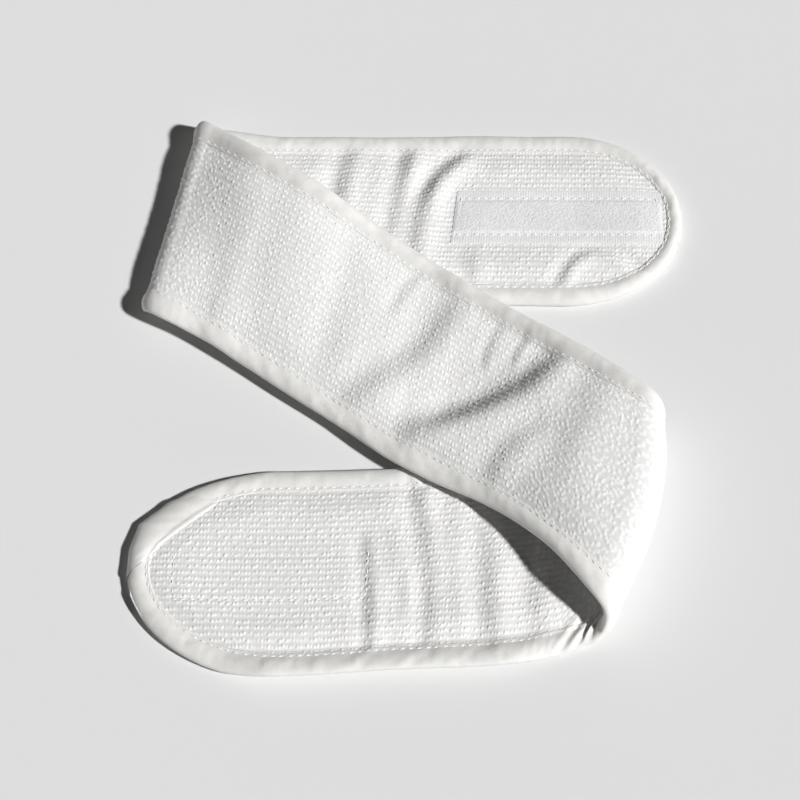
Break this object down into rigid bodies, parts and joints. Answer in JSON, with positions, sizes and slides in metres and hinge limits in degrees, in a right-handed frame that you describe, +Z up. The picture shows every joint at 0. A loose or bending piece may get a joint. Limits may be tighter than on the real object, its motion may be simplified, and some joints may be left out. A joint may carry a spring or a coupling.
{
  "type": "spa headband",
  "caption": "Wide terry headband with bound edges, round ends and a hook-and-loop closure, laid down in two open folds.",
  "frame": {"origin": "centre of the base of the folded band's bounding box", "axes": "+Z up from the surface it lies on, +X from the open end of the lower arm towards the lower fold, +Y from the lower arm towards the upper arm"},
  "size_m": [0.2214, 0.2332, 0.0266],
  "materials": {
    "terry": "looped towelling, matt",
    "binding": "fine knit binding, matt",
    "thread": "spun sewing thread, slight sheen",
    "loop_tape": "brushed loop pile on a woven ground",
    "hook_tape": "moulded nylon hooks on a woven ground"
  },
  "bodies": {
    "upper_arm": {"terry_upper_arm": "terry", "binding_upper_arm": "binding", "binding_stitches_upper_arm": "thread", "loop_tape": "loop_tape", "loop_tape_stitches": "thread"},
    "middle": {"terry_middle": "terry", "binding_middle_far": "binding", "binding_middle_near": "binding", "binding_stitches_middle_far": "thread", "binding_stitches_middle_near": "thread"},
    "lower_arm": {"terry_lower_arm": "terry", "binding_lower_arm": "binding", "binding_lap": "binding", "binding_stitches_lower_arm": "thread", "hook_tape": "hook_tape", "hook_tape_stitches": "thread"}
  },
  "joints": [
    {"name": "upper_fold", "type": "hinge", "parent": "upper_arm", "child": "middle", "pos_m": [-0.09936, 0.07906, 0.0085], "axis": [-0.2807, -0.9598, 0], "range_deg": [0, 175]},
    {"name": "lower_fold", "type": "hinge", "parent": "middle", "child": "lower_arm", "pos_m": [0.09311, -0.05492, 0.013], "axis": [-0.2487, -0.9686, 0], "range_deg": [0, 175]}
  ]
}
